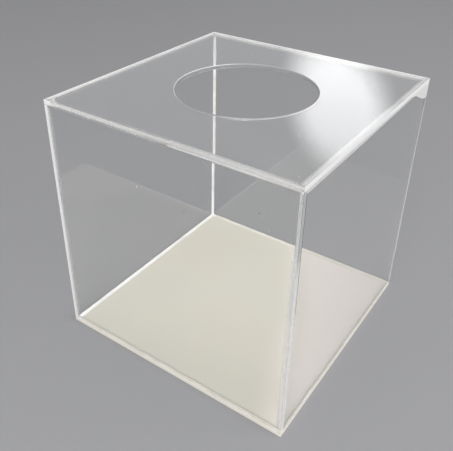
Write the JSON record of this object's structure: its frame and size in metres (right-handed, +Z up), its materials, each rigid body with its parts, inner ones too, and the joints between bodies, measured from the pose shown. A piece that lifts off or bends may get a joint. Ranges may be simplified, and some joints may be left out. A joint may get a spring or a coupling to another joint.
{
  "type": "clear acrylic box with a round top port",
  "caption": "Free-standing clear acrylic box bonded from flat sheets, with a round port in its top and an opaque ivory base.",
  "frame": {"origin": "centre of the underside of the base, where the box rests", "axes": "+Z is up, out through the round port; -Y is the front wall; +X is the right wall"},
  "size_m": [0.25, 0.25, 0.25],
  "materials": {
    "clear_acrylic": "clear cast acrylic sheet, glossy faces, pale saw-cut edges",
    "ivory_acrylic": "opaque ivory acrylic sheet, soft gloss",
    "cured_cement": "cured solvent cement, milky white with bubbles"
  },
  "bodies": {
    "root": {"base_panel": "ivory_acrylic", "front_wall": "clear_acrylic", "right_wall": "clear_acrylic", "back_wall": "clear_acrylic", "left_wall": "clear_acrylic", "top_panel": "clear_acrylic", "base_seam_front": "cured_cement", "base_seam_right": "cured_cement", "base_seam_back": "cured_cement", "base_seam_left": "cured_cement", "top_seam_front": "cured_cement", "top_seam_right": "cured_cement", "top_seam_back": "cured_cement", "top_seam_left": "cured_cement", "corner_seam_front_left": "cured_cement", "corner_seam_front_right": "cured_cement", "corner_seam_back_right": "cured_cement", "corner_seam_back_left": "cured_cement"}
  },
  "joints": []
}
